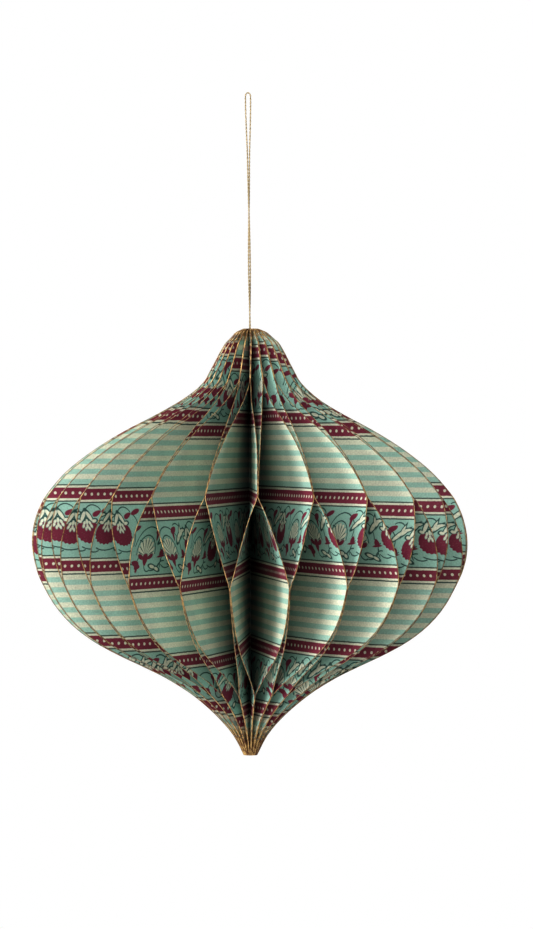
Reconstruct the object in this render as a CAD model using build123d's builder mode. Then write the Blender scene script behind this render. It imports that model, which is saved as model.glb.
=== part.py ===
"""Honeycomb paper ornament: an onion of paper leaves, opened like a fan round a hollow core, on a loop of cord.

The leaves are half outlines of the onion, cut from a stack of printed paper. Neighbours are glued to each
other along short level rows: at one row a leaf is glued to the leaf on its left, at the next row to the
leaf on its right. Opened out, each leaf swings from one neighbour to the other between two rows, and the
gaps between the leaves become the lens-shaped cells of a honeycomb. Towards the crown and the tip, a pair
that is glued where it is wide stays almost shut until it is narrow.

Units are millimetres. +Z is up and the front looks along -Y. The origin is the inside top of the hanging
loop, where a hook carries the ornament, so all of it hangs below the origin.
"""

import math
import os

from build123d import *

# Paper and glue
paper_thickness = 0.2
glue_film = 0.03

# Fan: leaves are made in pairs, and the fan is opened wider on its right side than on its left
pair_count = 24
fan_bias = 0.17
front_row_angle = 2.3
crown_twist = 3.0
tip_twist = 1.4
hand_drift = {-4: -0.6, -3: 1.0, -2: 0.6, -1: -0.3, 6: 0.8, 7: -0.8}  # degrees by which glued pairs stray

# Outline of a leaf
body_height = 147.0
belly_radius = 75.0
crown_land = 0.5
tip_land = 0.2
outline_stations = (  # share of the belly radius, share of the body height, from the tip up
    (0.066, 0.036),
    (0.177, 0.102),
    (0.375, 0.177),
    (0.575, 0.228),
    (0.800, 0.297),
    (0.950, 0.395),
    (1.000, 0.494),
    (0.950, 0.595),
    (0.776, 0.692),
    (0.520, 0.775),
    (0.330, 0.832),
    (0.178, 0.922),
    (0.143, 0.951),
    (0.115, 0.975),
    (0.076, 0.993),
)

# Rows of glue, by their heights over the tip, and the flat facets that each leaf folds into
row_heights = (22.2, 60.7, 90.2, 128.5)
facets_between_rows = 7
facets_in_tip = 4
facets_in_crown = 6

# Hanging loop
cord_diameter = 0.5
loop_drop = 81.0
hook_bend_radius = 0.86
hook_turn_share = 0.98  # leaves a short straight at the top of the loop
leg_gap_half = (0.32, 0.30)  # half the distance between the legs, high up and at the crown
leg_gap_heights = (-24.0, 5.0)  # under the hook, and over the crown
seat_start_depth = 4.5
seat_end_depth = 9.0
seat_bend = 0.1

leaf_count = 2 * pair_count
mean_pitch = 360 / leaf_count
row_count = len(row_heights)
crown_height = -loop_drop
tip_height = crown_height - body_height


def pair_plane_angle(step):
    """Angle from the front, in degrees, of the plane in which leaf step - 1 and leaf step are glued."""
    even = mean_pitch * step
    swing = math.degrees(fan_bias)
    return even - swing * (math.cos(math.radians(even)) - 1) + front_row_angle + hand_drift.get(step, 0.0)


narrowest_pitch = min(
    pair_plane_angle(step + 1) - pair_plane_angle(step) for step in range(-pair_count, pair_count)
)
core_radius = (paper_thickness + glue_film) / math.radians(narrowest_pitch)


def outline_curve():
    """The cut edge of a leaf as a spline in radius and height, from the tip up to the crown."""
    stations = [(radius * belly_radius, height * body_height) for radius, height in outline_stations]
    with BuildLine() as outline:
        Spline(
            (core_radius + tip_land, 0),
            *stations,
            (core_radius + crown_land, body_height),
        )
    return outline.edges()[0]


def share_at(curve, height):
    """Share of the cut edge's length, from the tip up, at which it reaches a height, found by halving."""
    below, above = 0.0, 1.0
    for _ in range(40):
        middle = (below + above) / 2
        if (curve @ middle).Y < height:
            below = middle
        else:
            above = middle
    return above


def fold_places():
    """Rows at which a leaf is folded: 0 is its tip, 1 the lowest row of glue, and halves lie between rows."""
    counts = [facets_in_tip] + [facets_between_rows] * (row_count - 1) + [facets_in_crown]
    places = [row + step / count for row, count in enumerate(counts) for step in range(count)]
    return places + [float(row_count + 1)]


def between(values, place):
    """Value at a place between the entries of a list, in a straight line from one to the next."""
    low = min(int(place), len(values) - 2)
    return values[low] + (place - low) * (values[low + 1] - values[low])


def swing_share(step, place, radius):
    """How far a leaf has swung: 0 against the leaf on its left, 1 against the one on its right.

    The distance between two leaves that are glued at the wider of two rows grows slowly at first, and is
    no larger at the narrower row than the fan leaves room for there.
    """
    place = min(max(place, 1.0), float(row_count))
    low = min(int(place), row_count - 1)
    low_radius, high_radius = row_radii[low - 1], row_radii[low]
    narrow, wide = sorted((low_radius, high_radius))
    narrow_is_high = high_radius < low_radius
    way = place - low if narrow_is_high else low + 1 - place
    turned = way ** (2 - narrow / wide) * narrow / max(radius, narrow)
    progress = turned if narrow_is_high else 1 - turned
    start = (row_count - low + step + 1) % 2
    return start + (1 - 2 * start) * progress


def twist_angle(place):
    """Angle, in degrees, by which the whole fan is twisted at a place."""
    return between((tip_twist, tip_twist) + (0.0,) * (row_count - 2) + (crown_twist, crown_twist), place)


def leaf_section(step, place, radius, height):
    """Four corners of a leaf's section at a place: core left, core right, edge right and edge left."""
    share = swing_share(step, place, radius)
    start = pair_plane_angle(step)
    angle = start + share * (pair_plane_angle(step + 1) - start) + twist_angle(place)
    outward = Vector(math.sin(math.radians(angle)), -math.cos(math.radians(angle)), 0)
    across = Vector(-outward.Y, outward.X, 0)
    centre = (paper_thickness + glue_film) * (0.5 - share)
    left = across * (centre - paper_thickness / 2)
    right = across * (centre + paper_thickness / 2)
    level = Vector(0, 0, tip_height + height)
    return [
        level + outward * core_radius + left,
        level + outward * core_radius + right,
        level + outward * radius + right,
        level + outward * radius + left,
    ]


def flat_face(*corners):
    """One flat facet of paper."""
    return Face(Wire.make_polygon(corners, close=True))


def folded_leaf(step, folds):
    """A whole leaf as a closed skin between the sections at its folds.

    Between the rows each facet is two triangles that meet on the line from its core up to its cut edge, on
    both sides of the paper, so that the paper is as thick everywhere. Past the rows the leaf is flat.
    """
    sections = [leaf_section(step, *fold) for fold in folds]
    core_left, core_right, edge_right, edge_left = range(4)
    sides = (
        (core_left, core_right),
        (core_right, edge_right),
        (edge_left, edge_right),
        (core_left, edge_left),
    )
    facets = [flat_face(*sections[0]), flat_face(*sections[-1])]
    for low, high, (place, _, _) in zip(sections, sections[1:], folds):
        for near, far in sides:
            if place < 1 or place >= row_count:
                facets.append(flat_face(low[near], low[far], high[far], high[near]))
            else:
                facets.append(flat_face(low[near], low[far], high[far]))
                facets.append(flat_face(low[near], high[far], high[near]))
    return Solid(Shell(facets))


def turn_radius(before, corner, after):
    """Largest arc that a turn of the cord has room for, from its shorter run and its angle."""
    arriving = Vector(*corner) - Vector(*before)
    leaving = Vector(*after) - Vector(*corner)
    half_turn = math.radians(arriving.get_angle(leaving)) / 2
    return 0.45 * min(arriving.length, leaving.length) / math.tan(half_turn)


os.makedirs("parts", exist_ok=True)

# Leaves, numbered to the right from the seam at the back
edge_curve = outline_curve()
row_shares = [share_at(edge_curve, height) for height in row_heights]
row_radii = [(edge_curve @ share).X for share in row_shares]
leaf_folds = []
for place in fold_places():
    edge_point = edge_curve @ between([0.0, *row_shares, 1.0], place)
    leaf_folds.append((place, edge_point.X, edge_point.Y))
for number in range(leaf_count):
    with BuildPart() as leaf:
        add(folded_leaf(number - pair_count, leaf_folds))
    leaf.part.label = f"leaf_{number + 1:02d}"
    export_step(leaf.part, f"parts/{leaf.part.label}.step")

# Hanging loop: one leg, from the hook down; both legs end inside the core, glued to its wall
seat_radius = core_radius - glue_film - cord_diameter / 2
loop_leg = (
    (-hook_bend_radius, 0.00, cord_diameter / 2),
    (-leg_gap_half[0], 0.00, leg_gap_heights[0]),
    (-leg_gap_half[1], 0.00, crown_height + leg_gap_heights[1]),
    (-seat_radius, 0.00, crown_height - seat_start_depth),
    (-seat_radius, seat_bend, crown_height - seat_end_depth),
)
loop_route = list(reversed(loop_leg)) + [(-x, -y, z) for x, y, z in loop_leg]
loop_radii = [turn_radius(*corner) for corner in zip(loop_route, loop_route[1:], loop_route[2:])]
hook_turn = len(loop_leg) - 2
loop_radii[hook_turn : hook_turn + 2] = [hook_turn_share * hook_bend_radius] * 2
with BuildPart() as hanging_loop:
    with BuildLine() as loop_line:
        FilletPolyline(*loop_route, radius=loop_radii)
    loop_path = loop_line.wires()[0]
    with BuildSketch(Plane(origin=loop_path @ 0, z_dir=loop_path % 0)):
        Circle(cord_diameter / 2)
    sweep(path=loop_path)
hanging_loop.part.label = "hanging_loop"
export_step(hanging_loop.part, "parts/hanging_loop.step")
cord_volume = math.pi * cord_diameter**2 / 4 * loop_path.length
print("cord radii", [round(radius, 2) for radius in loop_radii])
print("cord length", round(loop_path.length, 2))
print("cord volume", round(hanging_loop.part.volume, 4), "of", round(cord_volume, 4))
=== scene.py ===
"""Honeycomb paper ornament on its gold loop, dressed for a portrait in a plain studio.

Every leaf of the fan is a sheet of block-printed cotton paper with a gilt cut edge. The leaves take their
folds, radii and swing from the solids that they stand for, and only refine them. Lengths are in metres, and
the print is drawn in millimetres, as a printer would measure its blocks.
"""

import logging
import math
from dataclasses import dataclass
from enum import Enum, IntEnum
from itertools import product

import bpy
import numpy as np
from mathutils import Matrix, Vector


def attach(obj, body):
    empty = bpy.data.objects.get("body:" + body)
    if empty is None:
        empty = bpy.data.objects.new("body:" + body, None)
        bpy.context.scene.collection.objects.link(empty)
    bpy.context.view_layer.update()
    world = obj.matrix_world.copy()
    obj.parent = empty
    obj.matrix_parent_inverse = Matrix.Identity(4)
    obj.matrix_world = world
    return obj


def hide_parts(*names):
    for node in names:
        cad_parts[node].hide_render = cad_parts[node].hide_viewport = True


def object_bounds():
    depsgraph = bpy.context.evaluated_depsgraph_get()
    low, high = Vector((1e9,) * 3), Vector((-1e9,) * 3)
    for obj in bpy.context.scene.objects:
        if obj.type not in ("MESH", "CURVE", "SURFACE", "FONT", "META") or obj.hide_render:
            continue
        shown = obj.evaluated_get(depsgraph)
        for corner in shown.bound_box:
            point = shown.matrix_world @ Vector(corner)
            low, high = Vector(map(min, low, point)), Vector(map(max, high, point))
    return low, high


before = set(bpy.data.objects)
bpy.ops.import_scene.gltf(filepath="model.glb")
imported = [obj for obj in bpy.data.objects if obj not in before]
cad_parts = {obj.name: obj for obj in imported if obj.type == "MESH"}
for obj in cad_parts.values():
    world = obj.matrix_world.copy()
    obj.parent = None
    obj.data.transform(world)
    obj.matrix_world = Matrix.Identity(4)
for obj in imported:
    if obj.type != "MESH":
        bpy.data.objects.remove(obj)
cad_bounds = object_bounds()

LOG = logging.getLogger("ornament")
MM = 0.001
BODY = "root"
LEAF_NODE = "leaf_"
CORD_NODE = "hanging_loop"
CORE_MARGIN = 0.0001
PETAL_ROOM = 0.6
TENDRIL_ROOM = 0.4
PRINT_MAP = "print_mm"
RIM_MAP = "rim_mm"
THREAD_MAP = "thread_m"
BAKE_MAP = "OFBake"
Colour = tuple[float, float, float]
ORIGIN = (0.0, 0.0, 0.0)


class Side(Enum):
    """The two printed faces of a leaf, named as seen from in front of its cut edge."""

    LEFT = -1
    RIGHT = 1


class Wear(Enum):
    """Material slots of the record, for the paper and the cord."""

    PAPER = "printed_paper"
    CORD = "gold_cord"


class LeafPart(IntEnum):
    """The groups of faces of a leaf."""

    LEFT_SIDE = 0
    RIGHT_SIDE = 1
    CUT_EDGE = 2
    CORE_EDGE = 3
    LOWER_END = 4
    UPPER_END = 5
    SPINE_FOLD = 6


# Node formulas


@dataclass(frozen=True)
class Term:
    """A value in a node tree that can be written as a formula."""

    tree: bpy.types.NodeTree
    socket: bpy.types.NodeSocket

    def math(self, operation: str, *others: "Term | float") -> "Term":
        """Puts this value through a Math node.

        Args:
            operation: The Math node's operation.
            others: Its other inputs, as values or numbers.

        Returns:
            The node's result.
        """
        node = self.tree.nodes.new("ShaderNodeMath")
        node.operation = operation
        for place, value in zip(node.inputs, (self, *others)):
            plug(self.tree, value, place)
        return Term(self.tree, node.outputs[0])

    def __add__(self, other: "Term | float") -> "Term":
        """Sum of two values."""
        return self.math("ADD", other)

    def __sub__(self, other: "Term | float") -> "Term":
        """Difference of two values."""
        return self.math("SUBTRACT", other)

    def __mul__(self, other: "Term | float") -> "Term":
        """Product of two values."""
        return self.math("MULTIPLY", other)

    def __truediv__(self, other: "Term | float") -> "Term":
        """Quotient of two values."""
        return self.math("DIVIDE", other)

    def __abs__(self) -> "Term":
        """Size of the value without its sign."""
        return self.math("ABSOLUTE")

    def wrapped(self, span: float) -> "Term":
        """The value brought between minus and plus half a span."""
        return self.math("WRAP", span / 2, -span / 2)

    def low(self, other: "Term | float") -> "Term":
        """The lower of two values."""
        return self.math("MINIMUM", other)

    def high(self, other: "Term | float") -> "Term":
        """The higher of two values."""
        return self.math("MAXIMUM", other)

    def inverse(self) -> "Term":
        """One less the value: where a mask is not."""
        return self * -1.0 + 1.0

    def below(self, limit: float, blur: float) -> "Term":
        """A mask that is 1 under a limit.

        Args:
            limit: Where the mask ends.
            blur: Breadth of its soft edge.

        Returns:
            The mask, from 0 to 1.
        """
        node = self.tree.nodes.new("ShaderNodeMapRange")
        plug(self.tree, self, node.inputs["Value"])
        node.inputs["From Min"].default_value = limit + blur / 2
        node.inputs["From Max"].default_value = limit - blur / 2
        return Term(self.tree, node.outputs["Result"])

    def above(self, limit: float, blur: float) -> "Term":
        """A mask that is 1 over a limit, with a soft edge of a given breadth."""
        return self.below(limit, -blur)


def plug(tree: bpy.types.NodeTree, value: object, place: bpy.types.NodeSocket) -> None:
    """Links a value to a socket, or sets it there.

    Args:
        tree: The node tree of both.
        value: A Term, a socket, a number, a vector or a colour.
        place: The socket that receives it.
    """
    if isinstance(value, Term):
        value = value.socket
    if isinstance(value, bpy.types.NodeSocket):
        tree.links.new(value, place)
    else:
        place.default_value = (*value, 1.0) if place.type == "RGBA" else value


class Bench:
    """A node tree that is being written."""

    def __init__(self, tree: bpy.types.NodeTree) -> None:
        """Takes up a tree."""
        self.tree = tree

    def fill(self, node: bpy.types.Node, values: dict[str, object]) -> None:
        """Fills a node's inputs by name, with underscores for spaces."""
        for label, value in values.items():
            plug(self.tree, value, node.inputs[label.replace("_", " ")])

    def node(self, kind: str, **values: object) -> bpy.types.Node:
        """Adds a node.

        Args:
            kind: Its type.
            values: What its inputs receive, by name.

        Returns:
            The node.
        """
        node = self.tree.nodes.new(kind)
        self.fill(node, values)
        return node

    def placed(self, group: bpy.types.NodeTree, **values: object) -> dict[str, Term]:
        """Places a node group.

        Args:
            group: The group.
            values: What its inputs receive, by name.

        Returns:
            Its outputs, by name.
        """
        node = self.node("ShaderNodeGroup")
        node.node_tree = group
        self.fill(node, values)
        return {socket.name: Term(self.tree, socket) for socket in node.outputs}

    def vector(self, operation: str, *values: object) -> Term:
        """Adds a Vector Math node.

        Args:
            operation: The node's operation.
            values: Its inputs in order.

        Returns:
            Its vector, or its value for a length or a distance.
        """
        node = self.tree.nodes.new("ShaderNodeVectorMath")
        node.operation = operation
        for place, value in zip(node.inputs, values):
            plug(self.tree, value, place)
        return Term(self.tree, node.outputs["Value" if operation in ("LENGTH", "DISTANCE") else "Vector"])

    def parts(self, place: object) -> list[Term]:
        """X, Y and Z of a vector."""
        node = self.node("ShaderNodeSeparateXYZ", Vector=place)
        return [Term(self.tree, socket) for socket in node.outputs]

    def joined(self, across: Term, up: Term) -> Term:
        """A place, from its distances across and up."""
        return Term(self.tree, self.node("ShaderNodeCombineXYZ", X=across, Y=up).outputs[0])

    def noise(self, place: object, scale: float, detail: float = 2.0) -> Term:
        """Noise from 0 to 1 at a place, of a given scale and number of octaves."""
        node = self.node("ShaderNodeTexNoise", Vector=place, Scale=scale, Detail=detail)
        return Term(self.tree, node.outputs[0])

    def mix(self, share: Term, first: object, second: object) -> Term:
        """Mixes two colours.

        Args:
            share: How much of the second colour.
            first: The first colour.
            second: The second colour.

        Returns:
            The mixed colour.
        """
        node = self.tree.nodes.new("ShaderNodeMix")
        node.data_type = "RGBA"
        for number, value in ((0, share), (6, first), (7, second)):
            plug(self.tree, value, node.inputs[number])
        return Term(self.tree, node.outputs[2])

    def mapped(self, name: str) -> Term:
        """The place on a UV map."""
        node = self.tree.nodes.new("ShaderNodeUVMap")
        node.uv_map = name
        return Term(self.tree, node.outputs[0])


class Recipe(Bench):
    """A shader node group that is being written."""

    def __init__(self, name: str, takes: dict[str, object], gives: tuple[str, ...]) -> None:
        """Opens a new group.

        Args:
            name: Its name.
            takes: Name and default of each input; a default of three numbers makes it a vector. The attribute
                given holds these inputs in the same order.
            gives: Names of its outputs.
        """
        super().__init__(bpy.data.node_groups.new(name, "ShaderNodeTree"))
        for label, default in takes.items():
            kind = "NodeSocketVector" if isinstance(default, tuple) else "NodeSocketFloat"
            made = self.tree.interface.new_socket(label, in_out="INPUT", socket_type=kind)
            made.default_value = default
        for label in gives:
            self.tree.interface.new_socket(label, in_out="OUTPUT", socket_type="NodeSocketFloat")
        entry = self.tree.nodes.new("NodeGroupInput")
        self.given = [Term(self.tree, entry.outputs[label]) for label in takes]

    def give(self, **values: Term) -> bpy.types.NodeTree:
        """Fills the group's outputs by name, with underscores for spaces, and hands over the group."""
        self.node("NodeGroupOutput", **values)
        return self.tree


# Blocks of the print


@dataclass(frozen=True)
class Petal:
    """One cut shape of a print block, in millimetres from the middle of the floral band.

    Args:
        across: Place along the band.
        up: Place up the band.
        length: Length along its own axis.
        width: Greatest width.
        lean: Turn of its axis from the band's direction, in degrees.
        taper: From -1 to 1, how much fatter its far end is.
        scallop: Depth of the notches round it, as a share of its half width.
        notches: How many notches it has.
    """

    across: float
    up: float
    length: float
    width: float
    lean: float = 90.0
    taper: float = 0.0
    scallop: float = 0.0
    notches: float = 0.0

    def extent(self) -> tuple[float, float]:
        """Where it starts and ends along the band, with room for its outline."""
        half = max(self.length, self.width) / 2 + PETAL_ROOM
        return self.across - half, self.across + half

    def numbers(self) -> dict[str, object]:
        """What the petal group takes, besides places."""
        half = (self.length / 2, self.width / 2, 1.0)
        shape = {"Taper": self.taper, "Scallop": self.scallop, "Notches": self.notches}
        return {"Lean": math.radians(self.lean), "Half": half, **shape}


@dataclass(frozen=True)
class Tendril:
    """An arc of vine.

    Args:
        across: Place of its centre along the band.
        up: Place of its centre up the band.
        radius: Its radius.
        facing: Direction of its middle from the centre, in degrees.
        span: Half the angle that it covers, in degrees.
    """

    across: float
    up: float
    radius: float
    facing: float
    span: float

    def extent(self) -> tuple[float, float]:
        """Where it starts and ends along the band, with room for its thickness."""
        turns = np.radians(np.linspace(self.facing - self.span, self.facing + self.span, 25))
        along = self.across + self.radius * np.cos(turns)
        return along.min() - TENDRIL_ROOM, along.max() + TENDRIL_ROOM

    def numbers(self) -> dict[str, object]:
        """What the tendril group takes, besides places."""
        facing, span = math.radians(self.facing), math.radians(self.span)
        return {"Radius": self.radius, "Facing": facing, "Span": span}


BURGUNDY_BLOCK = (
    # calyx under the fan: three lobes over a point
    Petal(-2.6, -2.9, 3.6, 1.5, 158.0, 0.25),
    Petal(2.6, -2.9, 3.6, 1.5, 22.0, 0.25),
    Petal(0.0, -2.9, 2.8, 2.2, 0.0),
    Petal(0.0, -4.2, 3.4, 2.6, 90.0, 0.5),
    # flame bud and its tail
    Petal(6.7, 5.7, 4.4, 2.0, 22.0, -0.2),
    Petal(5.8, 4.0, 3.8, 1.3, 80.0, 0.45),
    # little bell
    Petal(9.4, -1.8, 2.5, 2.5, 90.0, -0.3),
    Petal(9.3, -2.9, 4.9, 0.8, 6.0),
    # great blossom with a scalloped foot
    Petal(17.2, -1.1, 9.6, 6.5, 0.0, 0.0, 0.045, 17.0),
    Petal(14.9, 0.0, 5.6, 4.9, 62.0),
    Petal(19.5, 0.0, 5.6, 4.9, 118.0),
    # pair of buds on one stem
    Petal(21.8, 5.4, 4.0, 1.6, 24.0, -0.35),
    Petal(26.0, 6.5, 4.8, 1.6, 17.0, 0.05),
    # great bell with a pointed tip
    Petal(28.2, -4.9, 4.4, 2.0, 166.0, -0.3),
    Petal(29.6, -5.9, 3.4, 2.2, 174.0, 0.5),
    Petal(29.4, -6.9, 2.2, 1.2, 78.0, -0.3),
)

CREAM_BLOCK = (
    # tulip that crowns the blossom: two curling petals and the beads under them
    Petal(15.9, 4.4, 3.9, 1.3, 55.0, 0.1),
    Petal(18.5, 4.4, 3.9, 1.3, 125.0, 0.1),
    Petal(14.2, 2.9, 1.9, 1.0, 168.0),
    Petal(20.2, 2.9, 1.9, 1.0, 12.0),
    Petal(16.1, 2.3, 1.4, 0.9, 60.0),
    Petal(18.3, 2.3, 1.4, 0.9, 120.0),
    Petal(17.2, 2.7, 1.7, 1.0, 90.0),
    Petal(15.6, 1.3, 1.4, 0.9, 55.0),
    Petal(17.2, 1.2, 1.4, 0.9, 90.0),
    Petal(18.8, 1.3, 1.4, 0.9, 125.0),
    Petal(16.5, 0.4, 1.3, 0.8, 75.0),
    Petal(17.9, 0.4, 1.3, 0.8, 105.0),
    # lily over the little bell
    Petal(9.4, 3.3, 4.8, 1.3, 36.0),
    Petal(11.4, 5.3, 3.3, 1.0, 66.0, -0.3),
    Petal(12.3, 4.7, 3.6, 1.0, 34.0, -0.2),
    Petal(13.4, 5.4, 3.0, 0.9, 8.0, -0.2),
    # leaves on the lower vine
    Petal(4.6, -6.2, 3.0, 1.1, -14.0),
    Petal(7.4, -7.0, 2.6, 1.0, -20.0),
    Petal(22.9, -5.4, 1.9, 1.2, 30.0),
)

TENDRILS = (
    # round the fan, and the long bow over it
    Tendril(0.0, -1.2, 5.4, 90.0, 98.0),
    Tendril(1.2, -1.4, 8.3, 112.0, 52.0),
    # from the calyx along the foot of the band
    Tendril(2.0, -5.6, 2.1, 240.0, 66.0),
    Tendril(4.4, -1.9, 5.6, 300.0, 38.0),
    Tendril(10.9, -8.4, 4.0, 118.0, 34.0),
    # stems of the little bell and the flame bud
    Tendril(12.6, -5.2, 3.5, 158.0, 44.0),
    Tendril(4.4, 1.0, 4.5, 20.0, 42.0),
    # long bow under the blossom, and the curl that ends it
    Tendril(12.8, -2.2, 4.6, 262.0, 32.0),
    Tendril(17.6, 4.3, 10.6, 272.0, 24.0),
    Tendril(22.6, -5.4, 1.2, 300.0, 100.0),
    # from the tulip to the pair of buds, and their hanging leaf
    Tendril(20.4, 4.6, 3.6, 100.0, 66.0),
    Tendril(22.2, 2.4, 4.0, 18.0, 40.0),
    Tendril(9.2, 4.4, 3.4, 60.0, 60.0),
    # over the great bell
    Tendril(26.4, -1.2, 3.9, 262.0, 70.0),
    Tendril(29.4, -0.8, 3.4, 32.0, 60.0),
)

KNOB = (17.2, 6.6, 0.0)  # dark bead over the tulip
KNOB_RADIUS = 0.5


@dataclass(frozen=True)
class PrintLayout:
    """Sizes of the block print, in millimetres.

    Args:
        repeat: Height from one floral band to the next.
        floral: Height of a floral band.
        rule: Thickness of the thin dark rules.
        margin: Thickness of the cream lines beside them.
        ribbon: Height of a burgundy ribbon.
        dot_pitch: Distance between the ribbon's dots.
        dot: Radius of a dot.
        stripes: How many pairs of stripes lie between two bands.
        unit: Length of the floral band's repeat.
        unit_middle: Middle of the repeat, measured from the fan flower.
        wander: How far the hand-cut lines stray.
        wander_scale: Scale of the noise by which they stray.
        blur: Breadth of the ink's soft edge.
        floral_blur: Breadth of the soft edge in the floral band.
        line: Half the thickness of the vines and of the outlines of cream petals.
        fan_line: Thickness of the dark line round the fan.
        clearance: How far the fan keeps from burgundy shapes.
        cream_clearance: How far burgundy keeps from cream shapes.
        stripe_cover: Cover of the stripes' ink, as a share of that of the floral band's ground.
    """

    repeat: float = 49.8
    floral: float = 17.5
    rule: float = 0.45
    margin: float = 0.7
    ribbon: float = 3.6
    dot_pitch: float = 2.55
    dot: float = 0.5
    stripes: int = 6
    unit: float = 33.8
    unit_middle: float = 11.6
    wander: float = 0.22
    wander_scale: float = 0.9
    blur: float = 0.12
    floral_blur: float = 0.192
    line: float = 0.2
    fan_line: float = 0.1
    clearance: float = 0.1
    cream_clearance: float = 0.12
    stripe_cover: float = 0.93

    @property
    def ribbon_start(self) -> float:
        """Distance from the middle of the band to the near side of a ribbon."""
        return self.floral / 2 + self.rule + self.margin

    @property
    def border_end(self) -> float:
        """Distance from the middle of the band to the far side of its border."""
        return self.ribbon_start + self.ribbon + self.margin + self.rule


class PrintBlocks:
    """Node groups that print the paper, one for each kind of block."""

    def __init__(self, layout: PrintLayout) -> None:
        """Cuts the blocks for a layout."""
        self.layout = layout
        self.petal = self.cut_petal()
        self.tendril = self.cut_tendril()
        self.fan = self.cut_fan()
        self.floral = self.cut_floral()
        self.whole = self.cut_whole()

    def cut_petal(self, slimmest: float = 0.2) -> bpy.types.NodeTree:
        """Group for one petal: how far outside it a place is, in millimetres.

        Args:
            slimmest: Least breadth that a taper leaves, as a share of the petal's.

        Returns:
            The group.
        """
        numbers = {"Lean": 0.0, "Half": (1.0, 1.0, 1.0), "Taper": 0.0, "Scallop": 0.0, "Notches": 0.0}
        recipe = Recipe("petal", {"Place": ORIGIN, "Centre": ORIGIN, **numbers}, ("Gap",))
        place, centre, lean, half, taper, scallop, notches = recipe.given
        turned = recipe.node("ShaderNodeVectorRotate", Vector=place, Center=centre, Angle=lean * -1.0)
        away = recipe.vector("SUBTRACT", turned.outputs[0], centre)
        along, aside, _ = recipe.parts(recipe.vector("DIVIDE", away, half))
        aside = aside / (along * taper + 1.0).high(slimmest)
        reach = (along * along + aside * aside).math("SQRT")
        wave = (aside.math("ARCTAN2", along) * notches).math("COSINE")
        _, half_width, _ = recipe.parts(half)
        return recipe.give(Gap=(reach - 1.0 + wave * scallop) * half_width)

    def cut_tendril(self) -> bpy.types.NodeTree:
        """Group for an arc of vine: how far a place is from its line, in millimetres."""
        places = {"Place": ORIGIN, "Centre": ORIGIN}
        recipe = Recipe("tendril", {**places, "Radius": 1.0, "Facing": 0.0, "Span": 1.0}, ("Gap",))
        place, centre, radius, facing, span = recipe.given
        away = recipe.vector("SUBTRACT", place, centre)
        ring = abs(recipe.vector("LENGTH", away) - radius)
        across, up, _ = recipe.parts(away)
        turn = up.math("ARCTAN2", across) - facing
        return recipe.give(Gap=ring.high((abs(turn.wrapped(math.tau)) - span) * radius))

    def cut_fan(self, droop: float = 0.24, tip: float = 4.4, breadth: float = 0.38) -> bpy.types.NodeTree:
        """Group for the fan palmette: its petals' gap, and the gap to the whole fan.

        Args:
            droop: How much shorter the outermost petals are, as a share.
            tip: How far a petal's corners fall behind its tip, in millimetres at a whole step aside.
            breadth: Half the breadth of a petal, as a share of its room.

        Returns:
            The group.
        """
        places = {"Place": ORIGIN, "Foot": (0.0, -2.6, 0.0)}
        takes = {**places, "Radius": 6.2, "Spread": 1.6, "Petals": 9.0}
        recipe = Recipe("fan palmette", takes, ("Petal gap", "Fan gap"))
        place, foot, radius, spread, petals = recipe.given
        away = recipe.vector("SUBTRACT", place, foot)
        across, up, _ = recipe.parts(away)
        reach = recipe.vector("LENGTH", away)
        turn = across.math("ARCTAN2", up)
        room = spread * 2.0 / petals
        step = (turn / room + 0.5).math("FRACT") - 0.5
        share = turn / spread
        rim = radius * (share * share * -droop + 1.0)
        beyond = reach - rim + step * step * tip
        aside = (abs(step) * room - room * breadth) * reach
        outside = (abs(share) - 1.0) * reach
        return recipe.give(Petal_gap=beyond.high(aside).high(outside), Fan_gap=beyond.high(outside))

    def cut_floral(self) -> bpy.types.NodeTree:
        """Group for the floral band: masks of its burgundy, cream and dark inks."""
        size = self.layout
        recipe = Recipe("floral band", {"Place": ORIGIN}, ("Burgundy", "Cream", "Dark"))
        across, up, _ = recipe.parts(*recipe.given)
        along = (across - size.unit_middle).wrapped(size.unit) + size.unit_middle
        place = recipe.joined(along, up)
        burgundy = self.nearest(recipe, place, BURGUNDY_BLOCK)
        cream = self.nearest(recipe, place, CREAM_BLOCK)
        fan = recipe.placed(self.fan, Place=place)
        knob = recipe.vector("DISTANCE", place, KNOB) - KNOB_RADIUS
        vine = self.nearest(recipe, place, TENDRILS).low(knob)
        blur = size.floral_blur
        clear = burgundy.above(size.clearance, blur)
        cream_ink = cream.below(0.0, blur).high(fan["Petal gap"].below(0.0, blur) * clear)
        burgundy_ink = burgundy.below(0.0, blur) * cream.above(size.cream_clearance, blur)
        outline = abs(cream - size.line).below(size.line, blur)
        dark = outline.high(vine.below(size.line, blur)).high(fan["Fan gap"].below(size.fan_line, blur))
        dark = dark * cream_ink.inverse() * burgundy_ink.inverse()
        return recipe.give(Burgundy=burgundy_ink, Cream=cream_ink, Dark=dark)

    def nearest(self, recipe: Recipe, place: Term, block: tuple) -> Term:
        """How far a place in the repeat is from the nearest shape of a block.

        Args:
            recipe: The group in which the shapes are placed, once or, across the repeat's end, twice.
            place: The place.
            block: Petals or tendrils.

        Returns:
            The gap in millimetres, negative inside a petal.
        """
        unit = self.layout.unit
        first = self.layout.unit_middle - unit / 2
        least = None
        for shape, shift in product(block, (-unit, 0.0, unit)):
            low, high = shape.extent()
            if low + shift < first + unit and high + shift > first:
                group = self.petal if isinstance(shape, Petal) else self.tendril
                centre = (shape.across + shift, shape.up, 0.0)
                gap = recipe.placed(group, Place=place, Centre=centre, **shape.numbers())["Gap"]
                least = gap if least is None else least.low(gap)
        return least

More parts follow.
